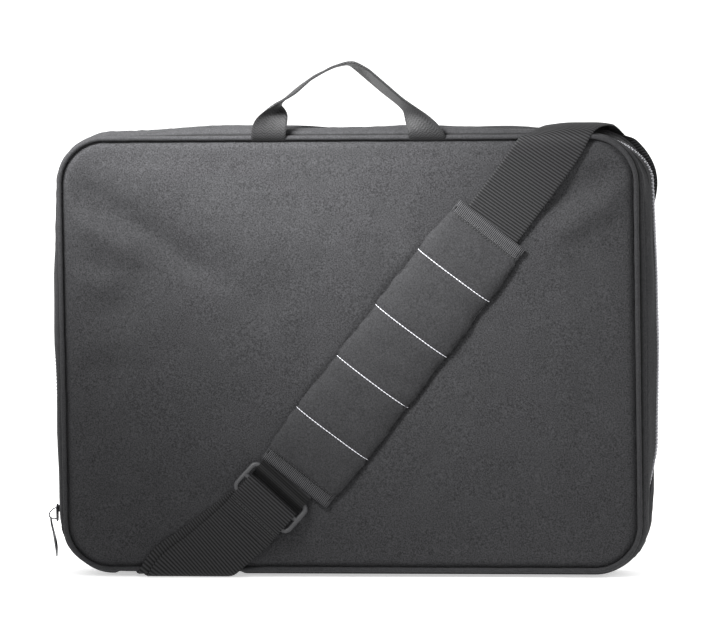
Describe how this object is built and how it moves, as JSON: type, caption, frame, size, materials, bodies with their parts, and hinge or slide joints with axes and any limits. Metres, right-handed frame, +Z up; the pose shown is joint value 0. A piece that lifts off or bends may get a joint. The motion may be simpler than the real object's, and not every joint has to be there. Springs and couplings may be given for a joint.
{
  "type": "portfolio case",
  "caption": "Soft padded portfolio case with piped edges, a wrap-round zip, a webbing carry handle and a padded shoulder strap.",
  "frame": {"origin": "middle of the flat underside of the case, on the floor", "axes": "+Z up, the front panel faces -Y, +X to the right seen from the front"},
  "size_m": [0.5094, 0.0754, 0.4266],
  "materials": {
    "case_fabric": "matte woven",
    "lining_fabric": "matte woven",
    "foam": "matte",
    "stiffener": "matte",
    "binding": "ribbed matte",
    "webbing": "ribbed matte",
    "handle_webbing": "fine herringbone",
    "pad_fabric": "matte woven",
    "thread": "matte",
    "zip_tape": "matte woven",
    "zip_teeth": "satin",
    "wire": "black gloss",
    "slider_metal": "satin"
  },
  "bodies": {
    "back_shell": {"back_panel": "case_fabric", "back_board": "stiffener", "back_foam": "foam", "back_lining": "lining_fabric", "back_piping": "case_fabric", "back_seam_binding": "binding", "back_gusset": "case_fabric", "back_zip_tape": "zip_tape", "back_zip_teeth": "zip_teeth", "bottom_gusset": "case_fabric", "zip_end_tab_left": "case_fabric", "zip_end_tab_right": "case_fabric", "strap_over_top": "webbing", "strap_back_right": "webbing", "strap_fold_inner": "webbing", "strap_fold_outer": "webbing", "strap_back_inner": "webbing", "strap_back_outer": "webbing", "strap_ring": "wire", "strap_tab_left": "webbing"},
    "front_shell": {"front_panel": "case_fabric", "front_foam": "foam", "front_lining": "lining_fabric", "front_piping": "case_fabric", "front_seam_binding": "binding", "front_gusset": "case_fabric", "front_zip_tape": "zip_tape", "front_zip_teeth": "zip_teeth", "handle_bases": "handle_webbing", "strap_front_run": "webbing", "strap_buckle_pass": "webbing", "strap_front_lower": "webbing", "strap_return": "webbing"},
    "handle": {"handle_loop": "handle_webbing"},
    "shoulder_pad": {"pad_cover": "pad_fabric", "pad_foam": "foam", "pad_backing": "pad_fabric", "pad_side_seams": "pad_fabric", "pad_hem_upper": "binding", "pad_hem_lower": "binding", "pad_stitching": "thread"},
    "buckle": {"strap_buckle": "wire", "strap_sewn_end": "webbing"},
    "zip_slider": {"slider_body": "slider_metal"},
    "pull_tab": {"pull_tab": "slider_metal"}
  },
  "joints": [
    {"name": "front_opening", "type": "hinge", "parent": "back_shell", "child": "front_shell", "pos_m": [0, -0.024, 0.0065], "axis": [1, 0, 0], "range_deg": [0, 40], "deforming": ["strap_over_top", "strap_fold_inner", "strap_fold_outer"]},
    {"name": "handle_swing", "type": "hinge", "parent": "front_shell", "child": "handle", "pos_m": [0, -0.0282, 0.3673], "axis": [1, 0, 0], "range_deg": [-40, 95]},
    {"name": "pad_slide", "type": "slide", "parent": "front_shell", "child": "shoulder_pad", "axis": [0.6184, 0, 0.7859], "range_m": [0, 0.055]},
    {"name": "buckle_slide", "type": "slide", "parent": "front_shell", "child": "buckle", "axis": [0.6756, 0, 0.7373], "range_m": [-0.02, 0], "deforming": ["strap_return", "strap_buckle_pass"]},
    {"name": "zip_run", "type": "slide", "parent": "back_shell", "child": "zip_slider", "axis": [0, 0, 1], "range_m": [0, 0.23]},
    {"name": "pull_swing", "type": "hinge", "parent": "zip_slider", "child": "pull_tab", "pos_m": [-0.2562, 0, 0.046], "axis": [0, 1, 0], "range_deg": [0, 150]}
  ]
}
